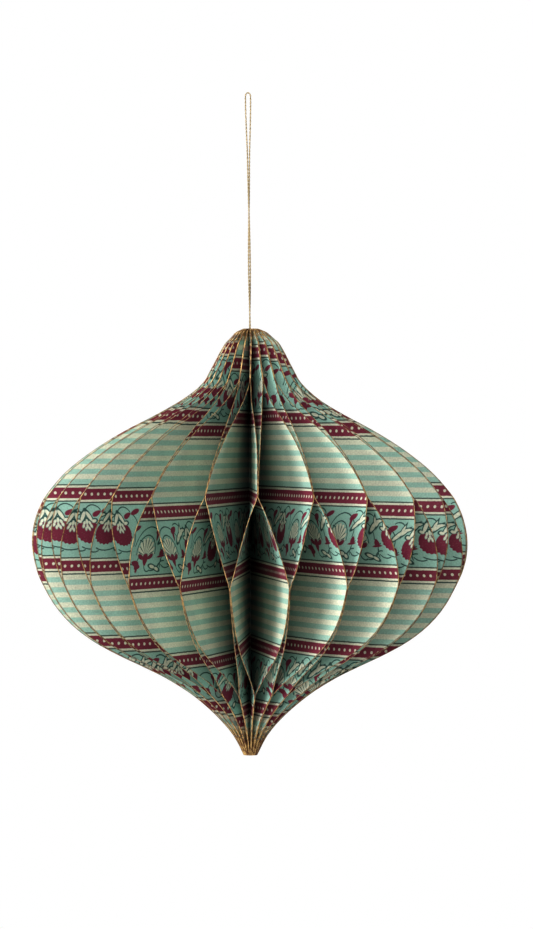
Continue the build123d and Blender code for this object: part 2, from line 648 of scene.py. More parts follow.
    def cut_whole(self) -> bpy.types.NodeTree:
        """Group for the whole print: masks of mint, burgundy and dark ink on cream paper."""
        size = self.layout
        recipe = Recipe("block print", {"Place": ORIGIN}, ("Mint", "Burgundy", "Dark"))
        (given,) = recipe.given
        stray = recipe.node("ShaderNodeTexNoise", Vector=given, Scale=size.wander_scale).outputs["Color"]
        shift = recipe.vector("SUBTRACT", stray, (0.5, 0.5, 0.5))
        place = recipe.vector("ADD", given, recipe.vector("MULTIPLY", shift, (size.wander,) * 3))
        across, up, _ = recipe.parts(place)
        level = up.wrapped(size.repeat)
        height = abs(level)
        blur = size.blur
        in_floral = height.below(size.floral / 2, blur)
        in_border = height.below(size.border_end, blur)
        from_ribbon = height - (size.ribbon_start + size.ribbon / 2)
        off_ribbon = abs(from_ribbon)
        ribbon = off_ribbon.below(size.ribbon / 2, blur)
        rule_middle = size.ribbon / 2 + size.margin + size.rule / 2
        rules = abs(off_ribbon - rule_middle).below(size.rule / 2, blur)
        dot_across = across.wrapped(size.dot_pitch)
        from_dot = (dot_across * dot_across + from_ribbon * from_ribbon).math("SQRT")
        ribbon = ribbon * from_dot.below(size.dot, size.floral_blur).inverse()
        stripe_zone = size.repeat - 2 * size.border_end
        rise = (level - size.border_end).math("WRAP", size.repeat, 0.0)
        stripe = (rise * (size.stripes / stripe_zone)).math("FRACT")
        soft = blur * size.stripes / stripe_zone
        stripes = abs(stripe - 0.25).below(0.25, soft).high(stripe.above(1.0, soft))
        flowers = recipe.placed(self.floral, Place=recipe.joined(across, level))
        mint = in_border.inverse() * stripes * size.stripe_cover
        return recipe.give(
            Mint=mint.high(in_floral * flowers["Cream"].inverse()),
            Burgundy=ribbon.high(in_floral * flowers["Burgundy"]),
            Dark=rules.high(in_floral * flowers["Dark"]),
        )


def paper_grain_group(
    cloud_scale: float = 0.12, pulp_scale: float = 1.7, fibre_scale: float = 1.3, pulp_share: float = 0.65
) -> bpy.types.NodeTree:
    """Group for cotton paper: cloudy tone, pressed fibres and a height for the bump.

    Args:
        cloud_scale: Scale of the clouds in its tone.
        pulp_scale: Scale of the pulp.
        fibre_scale: Scale of the fibres, which lie level.
        pulp_share: Share of the pulp in the tone; the rest is clouds.

    Returns:
        The group.
    """
    recipe = Recipe("cotton grain", {"Place": ORIGIN}, ("Tone", "Flecks", "Height"))
    (place,) = recipe.given
    cloud = recipe.noise(place, cloud_scale, 3.0)
    pulp = recipe.noise(place, pulp_scale, 4.0)
    fibre = recipe.noise(recipe.vector("MULTIPLY", place, (1.1, 3.4, 1.0)), fibre_scale, 3.0)
    tone = cloud * (1.0 - pulp_share) + pulp * pulp_share
    return recipe.give(Tone=tone, Flecks=fibre.above(0.66, 0.1), Height=pulp * 0.6 + fibre * 0.4)


def gilding_group(
    breadth: float = 0.12, ragged: float = 0.34, dip: float = 7.0, band_reach: float = 0.42
) -> bpy.types.NodeTree:
    """Group for the gilt cut edge: where gold paint lies, where it is worn to brown, and a brown band beside
    it.

    Args:
        breadth: How far, in millimetres, the paint reaches from the edge onto the faces.
        ragged: How far its border strays.
        dip: Reach of the cut edge, in millimetres, under which the leaves' narrow ends are gold all over.
        band_reach: How far the brown band beside the gold reaches from the edge.

    Returns:
        The group.
    """
    places = {"Rim": ORIGIN, "Place": ORIGIN}
    recipe = Recipe("gilding", places, ("Gold", "Worn", "Stain"))
    rim_place, place = recipe.given
    rim, radius, _ = recipe.parts(rim_place)
    _, up, _ = recipe.parts(place)
    along = recipe.joined(radius, up)
    stray = recipe.noise(along, 1.1, 3.0) - 0.5
    thin = recipe.noise(along, 0.55, 4.0)
    painted = (rim + stray * ragged).below(breadth, 0.1)
    dipped = (rim + radius + stray * (2 * dip)).below(dip, 3.0)
    # a brown band beside the gold, all along the cut edge
    edge_band = (rim + (thin - 0.5) * ragged).below(band_reach, 0.24)
    return recipe.give(Gold=painted.high(dipped), Worn=thin.above(0.5, 0.12), Stain=edge_band)


# Finishes


@dataclass(frozen=True)
class PaperFinish:
    """Printed paper with a gilt edge.

    Args:
        cream: The bare paper.
        mint: The ink of the ground and of the stripes.
        burgundy: The ink of ribbons and blossoms.
        dark: The ink of lines.
        gilt: Gold paint.
        worn: Brown where the gold paint is worn, and of the band beside the gold.
        mint_cover: Least cover of the mint ink, and what the paper's tone adds to it.
        dark_cover: Cover of the dark ink.
        burgundy_cover: Cover of the burgundy ink.
        fleck_cover: How much paper shows in the flecks.
        band_cover: How brown the band beside the gold is.
        brightness: Least brightness of the paper, and what its tone adds.
        fold_shade: Painted shade towards the spine: brightness at the spine, the share of the way to the cut
            edge at
        which the shade ends, and the breadth of its soft end.
        roughness: Roughness of the paper.
        grain_roughness: How far the paper's grain sways its roughness.
        gold_polish: How much less rough the gold is.
        gold_sheen: How metallic the gold is, and what wear takes from that.
        grain_bump: Strength of the grain's bump, and its height in metres.
        specular: Level of the specular reflection.
    """

    cream: Colour = (0.630, 0.635, 0.505)
    mint: Colour = (0.285, 0.495, 0.425)
    burgundy: Colour = (0.190, 0.014, 0.045)
    dark: Colour = (0.012, 0.050, 0.046)
    gilt: Colour = (0.52, 0.35, 0.15)
    worn: Colour = (0.16, 0.075, 0.035)
    mint_cover: tuple[float, float] = (0.78, 0.25)
    dark_cover: float = 0.92
    burgundy_cover: float = 0.97
    fleck_cover: float = 0.14
    band_cover: float = 0.55
    brightness: tuple[float, float] = (0.42, 1.15)
    # painted shade towards the spine
    fold_shade: tuple[float, float, float] = (0.45, 0.26, 0.4)
    roughness: float = 0.72
    grain_roughness: float = 0.12
    gold_polish: float = 0.26
    gold_sheen: tuple[float, float] = (0.4, 0.3)
    grain_bump: tuple[float, float] = (0.35, 0.00012)
    specular: float = 0.3

    def make(
        self, name: str, blocks: PrintBlocks, grain: bpy.types.NodeTree, gilding: bpy.types.NodeTree
    ) -> bpy.types.Material:
        """Makes the material.

        Args:
            name: The material's name.
            blocks: The print.
            grain: The paper grain group.
            gilding: The gilt edge group.

        Returns:
            The material.
        """
        material, bench, shader = new_material(name)
        sheet, rims = bench.mapped(PRINT_MAP), bench.mapped(RIM_MAP)
        inks = bench.placed(blocks.whole, Place=sheet)
        paper = bench.placed(grain, Place=sheet)
        edge = bench.placed(gilding, Rim=rims, Place=sheet)
        tone, height, gold, worn = paper["Tone"], paper["Height"], edge["Gold"], edge["Worn"]
        cover = tone * self.mint_cover[1] + self.mint_cover[0]
        bright = tone * self.brightness[1] + self.brightness[0]
        colour = bench.mix(inks["Mint"] * cover, self.cream, self.mint)
        colour = bench.mix(inks["Dark"] * self.dark_cover, colour, self.dark)
        colour = bench.mix(inks["Burgundy"] * self.burgundy_cover, colour, self.burgundy)
        colour = bench.mix(paper["Flecks"] * self.fleck_cover, colour, self.cream)
        # painted shade: the colour darkens towards the spine
        colour = bench.vector("MULTIPLY", colour, bright * self.shade(bench, rims))
        # a brown band beside the gold, all along the cut edge
        colour = bench.mix(edge["Stain"] * self.band_cover, colour, self.worn)
        colour = bench.mix(gold, colour, bench.mix(worn, self.gilt, self.worn))
        strength, distance = self.grain_bump
        bump = bench.node("ShaderNodeBump", Height=height, Strength=strength, Distance=distance)
        rough = height * self.grain_roughness + (self.roughness - self.grain_roughness / 2)
        look = {
            "Base Color": colour,
            "Metallic": gold * (worn * -self.gold_sheen[1] + self.gold_sheen[0]),
            "Roughness": gold * -self.gold_polish + rough,
            "Normal": bump.outputs[0],
            "Specular IOR Level": self.specular,
        }
        bench.fill(shader, look)
        return material

    def shade(self, bench: Bench, rims: Term) -> Term:
        """Painted shade: darker paper towards the spine, where little light comes back between the leaves.

        Args:
            bench: The material's nodes.
            rims: Distances from the cut edge and from the axis.

        Returns:
            A factor that is 1 on the outer half of the leaf.
        """
        rim, reach, _ = bench.parts(rims)
        least, end, blur = self.fold_shade
        return (reach / (rim + reach)).above(end, blur) * (1.0 - least) + least


@dataclass(frozen=True)
class ThreadFinish:
    """Metallic thread, dark and bright along its twist.

    Args:
        bright: Colour of the foil where it faces out.
        deep: Colour between its windings.
        winding: Length of one winding of the foil.
        fleck_scale: Scale of the flecks.
        foil_share: Share of the windings in the pattern; the rest is flecks.
        roughness: Least roughness, and what bright foil adds.
        sheen: Least metallic level, and what bright foil adds.
        foil_bump: Strength of the windings' bump, and its height in metres.
    """

    bright: Colour = (0.62, 0.52, 0.32)
    deep: Colour = (0.22, 0.14, 0.07)
    winding: float = 0.00035
    fleck_scale: float = 2600.0
    foil_share: float = 0.6
    roughness: tuple[float, float] = (0.3, 0.3)
    sheen: tuple[float, float] = (0.6, 0.3)
    foil_bump: tuple[float, float] = (0.6, 0.00006)

    def make(self, name: str) -> bpy.types.Material:
        """Makes the material.

        Args:
            name: The material's name.

        Returns:
            The material.
        """
        material, bench, shader = new_material(name)
        _, turns, _ = bench.parts(bench.mapped(THREAD_MAP))
        foil = abs((turns * (1.0 / self.winding)).math("FRACT") - 0.5) * 2.0
        fleck = bench.noise(bench.node("ShaderNodeTexCoord").outputs["Object"], self.fleck_scale)
        share = foil * self.foil_share + fleck * (1.0 - self.foil_share)
        strength, distance = self.foil_bump
        bump = bench.node("ShaderNodeBump", Height=foil, Strength=strength, Distance=distance)
        look = {
            "Base Color": bench.mix(share, self.deep, self.bright),
            "Roughness": share * self.roughness[1] + self.roughness[0],
            "Metallic": share * self.sheen[1] + self.sheen[0],
            "Normal": bump.outputs[0],
        }
        bench.fill(shader, look)
        return material


def new_material(name: str) -> tuple[bpy.types.Material, Bench, bpy.types.Node]:
    """Opens a new material.

    Args:
        name: Its name.

    Returns:
        The material, its nodes and its shader.
    """
    material = bpy.data.materials.new(name)
    material.use_nodes = True
    return material, Bench(material.node_tree), material.node_tree.nodes["Principled BSDF"]


# The fan


@dataclass(frozen=True)
class FoldedSheet:
    """The folds of one leaf, read from the solid that it stands for.

    Args:
        heights: Height of each fold.
        core: Core end of the leaf's middle line at each fold.
        edge: Cut edge end of the leaf's middle line at each fold.
        half: Half the thickness of the paper.
    """

    heights: np.ndarray
    core: np.ndarray
    edge: np.ndarray
    half: float

    @classmethod
    def of_node(cls, name: str) -> "FoldedSheet":
        """Reads the folds of a leaf.

        Args:
            name: The leaf's node.

        Returns:
            Its folds.
        """
        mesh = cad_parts[name].data
        points = np.array([vertex.co for vertex in mesh.vertices], float)
        reach = np.hypot(points[:, 0], points[:, 1])
        inner = reach < reach.min() + CORE_MARGIN
        levels = np.round(points[:, 2], 6)
        core_levels, core = cls.middles(points[inner], levels[inner])
        heights, edge = cls.middles(points[~inner], levels[~inner])
        first = points[(levels == heights[0]) & ~inner]
        half = float(np.linalg.norm(np.ptp(first[:, :2], axis=0))) / 2
        return cls(heights, in_line(heights, core_levels, core), edge, half)

    @staticmethod
    def middles(points: np.ndarray, levels: np.ndarray) -> tuple[np.ndarray, np.ndarray]:
        """Middle of the points at each level.

        Args:
            points: The points.
            levels: The level of each.

        Returns:
            The levels, and a middle for each.
        """
        unique = np.unique(levels)
        corners = [np.unique(points[levels == level].round(8), axis=0) for level in unique]
        return unique, np.array([corner.mean(0) for corner in corners])

    def refined(self, steps: int, rows: tuple[int, ...]) -> "FoldedSheet":
        """The same leaf with more folds, smooth between the rows of glue.

        Args:
            steps: How many new folds take the place of each facet.
            rows: Folds at which the rows of glue lie.

        Returns:
            The refined leaf.
        """
        folds = np.arange(len(self.heights))
        fine = np.arange(folds[-1] * steps + 1) / steps
        heights = smooth(fine, folds, self.heights)
        core = in_line(heights, self.heights, self.core[:, :2])
        reach = smooth(fine, folds, np.hypot(self.edge[:, 0], self.edge[:, 1]))
        over_tip, trimmed = np.array(NECK_TRIM).T * MM
        reach -= np.interp(heights - heights[0], over_tip, trimmed)
        turn = np.unwrap(np.arctan2(self.edge[:, 1], self.edge[:, 0]))
        angle = np.empty_like(fine)
        stops = (0, *rows, folds[-1])
        for low, high in zip(stops, stops[1:]):
            piece = slice(low * steps, high * steps + 1)
            angle[piece] = smooth(fine[piece], folds[low : high + 1], turn[low : high + 1])
        edge = np.column_stack([reach * np.cos(angle), reach * np.sin(angle), heights])
        over_tip, swayed = np.array(SWAY).T * MM
        edge[:, 0] += np.interp(heights - heights[0], over_tip, swayed)
        return FoldedSheet(heights, np.column_stack([core, heights]), edge, self.half)

    def across(self) -> np.ndarray:
        """Direction to the right of the leaf, seen from in front of its cut edge, at each fold."""
        outward = unit(self.edge - self.core)
        return np.column_stack([-outward[:, 1], outward[:, 0], np.zeros(len(outward))])


def unit(vectors: np.ndarray) -> np.ndarray:
    """Vectors brought to length 1."""
    return vectors / np.linalg.norm(vectors, axis=1)[:, None]


def in_line(places: np.ndarray, known: np.ndarray, table: np.ndarray) -> np.ndarray:
    """Rows at some places on straight lines between the rows of a table, which are known at others."""
    return np.column_stack([np.interp(places, known, column) for column in table.T])


def smooth(places: np.ndarray, known: np.ndarray, values: np.ndarray) -> np.ndarray:
    """Values on a smooth curve through known ones.

    Args:
        places: Where they are wanted.
        known: Where they are known, in rising order.
        values: What is known there.

    Returns:
        The values at the places.
    """
    slope = np.gradient(values, known)
    place = np.clip(np.searchsorted(known, places, side="right") - 1, 0, len(known) - 2)
    span = known[place + 1] - known[place]
    share = (places - known[place]) / span
    rise = share * share * (3 - 2 * share)
    leave = (share**3 - 2 * share**2 + share) * span * slope[place]
    arrive = (share**3 - share**2) * span * slope[place + 1]
    return values[place] + rise * (values[place + 1] - values[place]) + leave + arrive


NECK_TRIM = (  # height over the tip, and how much is trimmed off the cut edge there, in millimetres
    (117.0, 0.0),
    (120.5, 0.3),
    (123.0, 0.9),
    (125.0, 1.4),
    (127.0, 1.7),
    (129.0, 1.6),
    (131.0, 1.15),
    (133.5, 0.7),
    (137.0, 0.2),
    (139.0, 0.0),
    (142.3, 0.2),
    (143.6, 0.7),
    (144.9, 0.9),
    (146.2, 0.4),
    (147.0, 0.0),
)

SWAY = (  # height over the tip, and how far the cut edges lean to the right there, in millimetres
    (0.0, 0.2),
    (12.0, 0.1),
    (26.0, 0.3),
    (50.0, 0.4),
    (67.0, 0.3),
    (80.0, -0.2),
    (98.0, -0.45),
    (112.0, -0.2),
    (121.0, 0.15),
    (127.0, 0.75),
    (143.0, 0.8),
    (147.0, 0.3),
)

SEEN_CUTS = {  # leaf: how far its fan flower lies from the spine, and how far its floral band is dropped
    13: (55.0, -1.0),
    14: (55.0, -0.7),
    15: (55.2, -1.2),
    16: (54.7, -0.5),
    17: (53.1, -1.0),
    18: (52.5, -0.8),
    19: (53.2, -0.5),
    20: (66.0, 4.6),
    21: (70.0, 4.4),
    22: (63.0, 5.0),
    23: (62.5, 0.2),
    24: (61.0, 0.3),
    25: (51.5, 0.9),
    26: (59.8, -0.6),
    27: (58.0, -0.1),
    28: (59.0, 0.1),
    29: (57.7, 1.2),
    30: (58.0, 4.4),
    31: (56.1, 2.8),
    32: (58.1, 3.4),
    33: (58.2, 3.3),
    34: (62.0, -1.6),
}

# Flat layout for baking: where each part of a leaf starts, and how broad it is, as shares of the map
BAKE_HEIGHT = (0.01, 0.98)
BAKE_END_SPAN = (0.1, 0.2)
BAKE_SIDES = {LeafPart.LEFT_SIDE: (0.014, 0.474), LeafPart.RIGHT_SIDE: (0.986, -0.474)}
BAKE_EDGES = {
    LeafPart.CUT_EDGE: (0.494, 0.008),
    LeafPart.CORE_EDGE: (0.003, 0.008),
    LeafPart.SPINE_FOLD: (0.989, 0.008),
}
BAKE_ENDS = {LeafPart.LOWER_END: (0.0005, 0.004), LeafPart.UPPER_END: (0.9955, 0.004)}


@dataclass
class PaperFan:
    """The leaves of the ornament.

    Args:
        finish: The finish of the paper.
        layout: Sizes of the print.
        cuts: For leaves that the picture shows, how far from the spine the fan flower lies and how far the
            floral band is dropped, in millimetres.
        steps: New folds for each facet of a solid.
        columns: Faces from the spine to the cut edge.
        last_column: Share of the way to the cut edge at which the last column of faces starts.
        row_folds: Folds at which the rows of glue lie.
        band_height: Height over the tip of the middle of the belly's floral band.
        stack: How many leaves were cut together, so that their prints nearly agree.
        least_cut: Least cut of a stack that the picture does not show.
        most_cut: Greatest cut of such a stack.
        stray: How far a leaf's cut strays from that of its stack.
        seed: Seed of the cuts that the picture does not show.
    """

    finish: PaperFinish
    layout: PrintLayout
    cuts: dict[int, tuple[float, float]]
    steps: int = 3
    columns: int = 12
    last_column: float = 0.992
    row_folds: tuple[int, ...] = (4, 11, 18, 25)
    band_height: float = 0.078
    stack: int = 5
    least_cut: tuple[float, float] = (50.0, -1.6)
    most_cut: tuple[float, float] = (66.0, 4.6)
    stray: float = 0.6
    seed: int = 7

    def build(self) -> list[bpy.types.Object]:
        """Makes every leaf.

        Returns:
            The leaves.
        """
        blocks = PrintBlocks(self.layout)
        material = self.finish.make("printed cotton paper", blocks, paper_grain_group(), gilding_group())
        names = sorted(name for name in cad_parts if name.startswith(LEAF_NODE))
        sheets = [FoldedSheet.of_node(name).refined(self.steps, self.row_folds) for name in names]
        draw = np.random.default_rng(self.seed)
        stacks = draw.uniform(self.least_cut, self.most_cut, (len(names) // self.stack + 1, 2))
        strays = draw.uniform(-self.stray, self.stray, (len(names), 2))
        leaves = []
        for number, name in enumerate(names):
            guess = stacks[number // self.stack] + strays[number]
            cut = self.cuts.get(number + 1, tuple(guess))
            leaf = self.leaf(name, sheets[number], sheets[(number + 1) % len(sheets)], cut)
            leaf.data.materials.append(material)
            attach(leaf, BODY)
            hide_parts(name)
            leaves.append(leaf)
        LOG.info("paper fan: %d leaves", len(leaves))
        return leaves

    def leaf(
        self, name: str, sheet: FoldedSheet, following: FoldedSheet, cut: tuple[float, float]
    ) -> bpy.types.Object:
        """Makes one leaf, with the fold of the spine that joins it to the next.

        Args:
            name: The node that it stands for.
            sheet: Its folds.
            following: The folds of the leaf on its right.
            cut: Where its sheet was cut, as in the class's cuts.

        Returns:
            The leaf.
        """
        span = sheet.edge - sheet.core
        middle = sheet.core[:, None, :] + span[:, None, :] * self.spread()[None, :, None]
        rows, columns = middle.shape[:2]
        grids = [middle + sheet.across()[:, None, :] * (sheet.half * side.value) for side in Side]
        fold = following.core + following.across() * (following.half * Side.LEFT.value)
        vertices = np.concatenate([grids[0].reshape(-1, 3), grids[1].reshape(-1, 3), fold])
        reach = np.hypot(vertices[:, 0], vertices[:, 1])
        row = np.concatenate([np.tile(np.repeat(np.arange(rows), columns), 2), np.arange(rows)])
        side = np.repeat([Side.LEFT.value, Side.RIGHT.value], [rows * columns, rows * columns + rows])
        quads, groups = self.quads(rows, columns)
        mesh = bpy.data.meshes.new(name.replace(LEAF_NODE, "paper_leaf_"))
        mesh.from_pydata(vertices.tolist(), [], quads.tolist())
        mesh.polygons.foreach_set("use_smooth", np.ones(len(quads), bool))
        corner = quads.reshape(-1)
        flower, drop = cut
        across = -side * (reach / MM - flower)
        up = (vertices[:, 2] - sheet.heights[0] - self.band_height) / MM + drop
        rim = np.hypot(sheet.edge[:, 0], sheet.edge[:, 1])[row] - reach
        write_map(mesh, PRINT_MAP, np.column_stack([across, up])[corner])
        write_map(mesh, RIM_MAP, np.column_stack([rim, reach])[corner] / MM)
        write_map(mesh, BAKE_MAP, self.bake_map(quads, groups, reach, vertices[:, 2], side))
        self.crease(mesh, groups)
        return new_object(mesh)

    def spread(self) -> np.ndarray:
        """Shares of the way from the spine to the cut edge at which columns lie, closer at the edge."""
        even = np.linspace(0.0, 1.0, self.columns)
        return np.concatenate([np.sin(even[:-1] * math.pi / 2) * self.last_column, [self.last_column, 1.0]])

    def quads(self, rows: int, columns: int) -> tuple[np.ndarray, np.ndarray]:
        """Faces of a leaf.

        Args:
            rows: Rows of points up the leaf.
            columns: Points from the spine to the cut edge.

        Returns:
            The corners of each face, and which part of the leaf it belongs to.
        """
        left = np.arange(rows * columns).reshape(rows, columns)
        right = left + rows * columns
        fold = np.arange(rows) + 2 * rows * columns
        corners = {
            LeafPart.LEFT_SIDE: (left[:-1, :-1], left[:-1, 1:], left[1:, 1:], left[1:, :-1]),
            LeafPart.RIGHT_SIDE: (right[:-1, :-1], right[1:, :-1], right[1:, 1:], right[:-1, 1:]),
            LeafPart.CUT_EDGE: (left[:-1, -1], right[:-1, -1], right[1:, -1], left[1:, -1]),
            LeafPart.CORE_EDGE: (right[:-1, 0], left[:-1, 0], left[1:, 0], right[1:, 0]),
            LeafPart.LOWER_END: (left[0, 1:], left[0, :-1], right[0, :-1], right[0, 1:]),
            LeafPart.UPPER_END: (left[-1, :-1], left[-1, 1:], right[-1, 1:], right[-1, :-1]),
            LeafPart.SPINE_FOLD: (right[:-1, 0], fold[:-1], fold[1:], right[1:, 0]),
        }
        parts = [np.stack([places.ravel() for places in part], axis=1) for part in corners.values()]
        return np.concatenate(parts), np.repeat(list(corners), [len(part) for part in parts])

    def bake_map(
        self, quads: np.ndarray, groups: np.ndarray, reach: np.ndarray, level: np.ndarray, side: np.ndarray
    ) -> np.ndarray:
        """A flat layout of the leaf: its two sides next to each other, and its edges in narrow strips.

        Args:
            quads: The corners of each face.
            groups: Which part of the leaf each face belongs to.
            reach: Distance from the axis of each point.
            level: Height of each point.
            side: Side of each point.

        Returns:
            The place of each corner.
        """
        corner, group = quads.reshape(-1), np.repeat(groups, 4)
        radius = (reach / reach.max())[corner]
        tall = (BAKE_HEIGHT[0] + BAKE_HEIGHT[1] * (level - level.min()) / np.ptp(level))[corner]
        place = np.column_stack([radius, tall])
        far = side[corner] == Side.RIGHT.value
        fold = group == LeafPart.SPINE_FOLD
        far[fold] = np.tile((False, True, True, False), fold.sum() // 4)
        for part, (start, breadth) in BAKE_SIDES.items():
            strip = group == part
            place[strip, 0] = start + breadth * radius[strip]
        for part, (start, breadth) in BAKE_EDGES.items():
            strip = group == part
            place[strip, 0] = start + breadth * far[strip]
        for part, (start, breadth) in BAKE_ENDS.items():
            strip = group == part
            place[strip, 0] = BAKE_END_SPAN[0] + BAKE_END_SPAN[1] * radius[strip]
            place[strip, 1] = start + breadth * far[strip]
        return place

    def crease(self, mesh: bpy.types.Mesh, groups: np.ndarray) -> None:
        """Marks as sharp the edges where two parts of a leaf meet.

        Args:
            mesh: The leaf's mesh.
            groups: Which part of the leaf each face belongs to.
        """
        edges = np.empty(len(mesh.loops), int)
        mesh.loops.foreach_get("edge_index", edges)
        group = np.repeat(groups, 4)
        least = np.full(len(mesh.edges), max(LeafPart))
        most = np.full(len(mesh.edges), min(LeafPart))
        np.minimum.at(least, edges, group)
        np.maximum.at(most, edges, group)
        mesh.attributes.new("sharp_edge", "BOOLEAN", "EDGE").data.foreach_set("value", least != most)


def write_map(mesh: bpy.types.Mesh, name: str, places: np.ndarray) -> None:
    """Writes a UV map of a mesh, from the place of each face corner."""
    layer = mesh.uv_layers.new(name=name)
    layer.uv.foreach_set("vector", places.astype(np.float32).reshape(-1))


def new_object(data: bpy.types.ID) -> bpy.types.Object:
    """Puts an object with some data, and with its name, into the scene."""
    made = bpy.data.objects.new(data.name, data)
    bpy.context.scene.collection.objects.link(made)
    return made


# The cord


@dataclass
class HangingLoop:
    """The loop of gold thread: two legs wound slowly round each other, and the plies that each is twisted of.

    Args:
        finish: The finish of the thread.
        diameter: Diameter of the cord.
        plies: How many plies are twisted together.
        ply_share: Radius of a ply, as a share of the cord's diameter.
        ply_sides: Faces round a ply.
        lay_length: Length of one turn of the plies.
        lay_steps: Faces along one turn of the plies.
        seat: Distance from the axis at which the ends are glued.
        crown: Height of the leaves' upper end.
        lean: How far the top of the loop hangs to the left, in millimetres.
        length: Length of the thread; not used.
    """

    finish: ThreadFinish
    diameter: float = 0.0005
    plies: int = 2
    ply_share: float = 0.31
    ply_sides: int = 6
    lay_length: float = 0.00256
    lay_steps: int = 9
    seat: float = 0.00184
    crown: float = -0.081
    lean: float = 0.7
    length: float = 0.182

    def leg(self) -> list[tuple[float, float, float]]:
        """Route of one leg in millimetres, from the hook down; the other leg is opposite it."""
        seat, crown = self.seat / MM, self.crown / MM
        return [
            (-0.86, 0.00, 0.25),
            (-0.89, 0.00, -2.4),
            (-0.82, 0.00, -7.0),
            (-0.65, 0.00, -13.0),
            (-0.43, 0.00, -18.5),
            (-0.29, 0.00, -24.5),
            (-0.21, -0.21, -32.5),
            (0.00, -0.30, -41.0),
            (0.21, -0.21, -50.0),
            (0.30, 0.00, -59.0),
            (0.21, 0.21, -67.5),
            (0.00, 0.32, -75.5),
            (-0.10, 1.10, crown - 0.5),
            (-0.40, seat - 0.05, crown - 4.5),
            (-0.42, seat - 0.08, crown - 9.0),
        ]

    def route(self) -> np.ndarray:
        """Smooth centreline of the whole loop, from one glued end to the other."""
        leg = self.leg()
        points = list(reversed(leg)) + [(-x, -y, z) for x, y, z in leg]
        points = [(x - self.lean * max(0.0, 1 - z * MM / self.crown), y, z) for x, y, z in points]
        curve = bpy.data.curves.new("loop_route", "CURVE")
        curve.dimensions = "3D"
        curve.resolution_u = 24
        spline = curve.splines.new("NURBS")
        spline.points.add(len(points) - 1)
        for point, place in zip(spline.points, points):
            point.co = (*(value * MM for value in place), 1.0)
        spline.order_u = 3
        spline.use_endpoint_u = True
        holder = new_object(curve)
        bpy.context.view_layer.update()
        line = bpy.data.meshes.new_from_object(holder.evaluated_get(bpy.context.evaluated_depsgraph_get()))
        path = np.array([vertex.co for vertex in line.vertices], float)
        bpy.data.objects.remove(holder)
        bpy.data.curves.remove(curve)
        bpy.data.meshes.remove(line)
        return path

    def build(self) -> bpy.types.Object:
        """Makes the loop.

        Returns:
            The loop.
        """
        path = self.route()
        length = np.concatenate([[0.0], np.cumsum(np.linalg.norm(np.diff(path, axis=0), axis=1))])
        even = np.linspace(0.0, length[-1], int(length[-1] / (self.lay_length / self.lay_steps)))
        line = in_line(even, length, path)
        along = unit(np.gradient(line, axis=0))
        side = self.carried(along)
        up = np.cross(along, side)
        ply_radius = self.diameter * self.ply_share
        orbit = self.diameter / 2 - ply_radius
        ring = math.tau * np.arange(self.ply_sides)[None, :] / self.ply_sides
        circle = self.around(ring, side[:, None, :], up[:, None, :])
        vertices, faces, places = [], [], []
        for ply in range(self.plies):
            turn = math.tau * (even / self.lay_length + ply / self.plies)
            centre = line + orbit * self.around(turn, side, up)
            tube, tube_places = self.tube(even, ply * circle.shape[0] * circle.shape[1])
            vertices.append((centre[:, None, :] + circle * ply_radius).reshape(-1, 3))
            faces += tube
            places.append(tube_places)
        mesh = bpy.data.meshes.new("gold_thread_loop")
        mesh.from_pydata(np.concatenate(vertices).tolist(), [], faces)
        mesh.polygons.foreach_set("use_smooth", np.ones(len(mesh.polygons), bool))
        write_map(mesh, THREAD_MAP, np.concatenate(places))
        mesh.materials.append(self.finish.make("gold thread"))
        loop = new_object(mesh)
        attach(loop, BODY)
        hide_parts(CORD_NODE)
        LOG.info("hanging loop: %.1f mm of thread", length[-1] / MM)
        return loop

    @staticmethod
    def around(turn: np.ndarray, side: np.ndarray, up: np.ndarray) -> np.ndarray:
        """Directions at some angles round a line, from its side and up directions."""
        return np.cos(turn)[..., None] * side + np.sin(turn)[..., None] * up

    def tube(self, lengths: np.ndarray, base: int) -> tuple[list, np.ndarray]:
        """Faces of one ply.

        Args:
            lengths: How far along the thread each ring of points lies.
            base: Number of the ply's first point.

        Returns:
            The corners of each face, ends included, and the place of each corner: its share of the way round
            and its length along the thread.
        """
        sides, count = self.ply_sides, len(lengths)
        low = np.arange(count - 1)[:, None, None] * sides + base
        edge, step = np.arange(sides)[None, :, None] + np.array((0, 1, 1, 0)), np.array((0, 0, 1, 1))
        quads = low + step * sides + edge % sides
        along = lengths[np.arange(count - 1)[:, None, None] + step]
        places = np.stack(np.broadcast_arrays(edge / sides, along), axis=-1)
        first = base + np.arange(sides)
        last = first + (count - 1) * sides
        ends = np.column_stack([np.full(2 * sides, 0.5), np.repeat(lengths[[0, -1]], sides)])
        faces = [*quads.reshape(-1, 4).tolist(), first[::-1].tolist(), last.tolist()]
        return faces, np.concatenate([places.reshape(-1, 2), ends])

    @staticmethod
    def carried(along: np.ndarray) -> np.ndarray:
        """Side directions carried along a line without twisting.

        Args:
            along: Directions of the line.

        Returns:
            A side direction for each.
        """
        side = np.cross(along[0], (0.0, 1.0, 0.0))
        sides = []
        for direction in along:
            side = side - direction * np.dot(side, direction)
            side = side / np.linalg.norm(side)
            sides.append(side)
        return np.array(sides)


# The studio


@dataclass
class Portrait:
    """The camera, set as the picture was taken.

    Args:
        distance: Distance from the ornament's axis.
        height: Height of the lens.
        aim: Where the middle of the picture lies in the axis's plane, across and up.
        lens: Focal length on a 36 mm frame.
    """

    distance: float = 1.035
    height: float = -0.1193
    aim: tuple[float, float] = (0.0057, -0.1278)
    lens: float = 116.3

    def build(self) -> bpy.types.Object:
        """Makes the camera.

        Returns:
            The camera.
        """
        data = bpy.data.cameras.new("portrait")
        data.lens = self.lens
        camera = new_object(data)
        camera.location = (0.0, -self.distance, self.height)
        target = Vector((self.aim[0], 0.0, self.aim[1]))
        camera.rotation_euler = (target - camera.location).to_track_quat("-Z", "Y").to_euler()
        bpy.context.scene.camera = camera
        LOG.info("camera: %.2f m away", self.distance)
        return camera


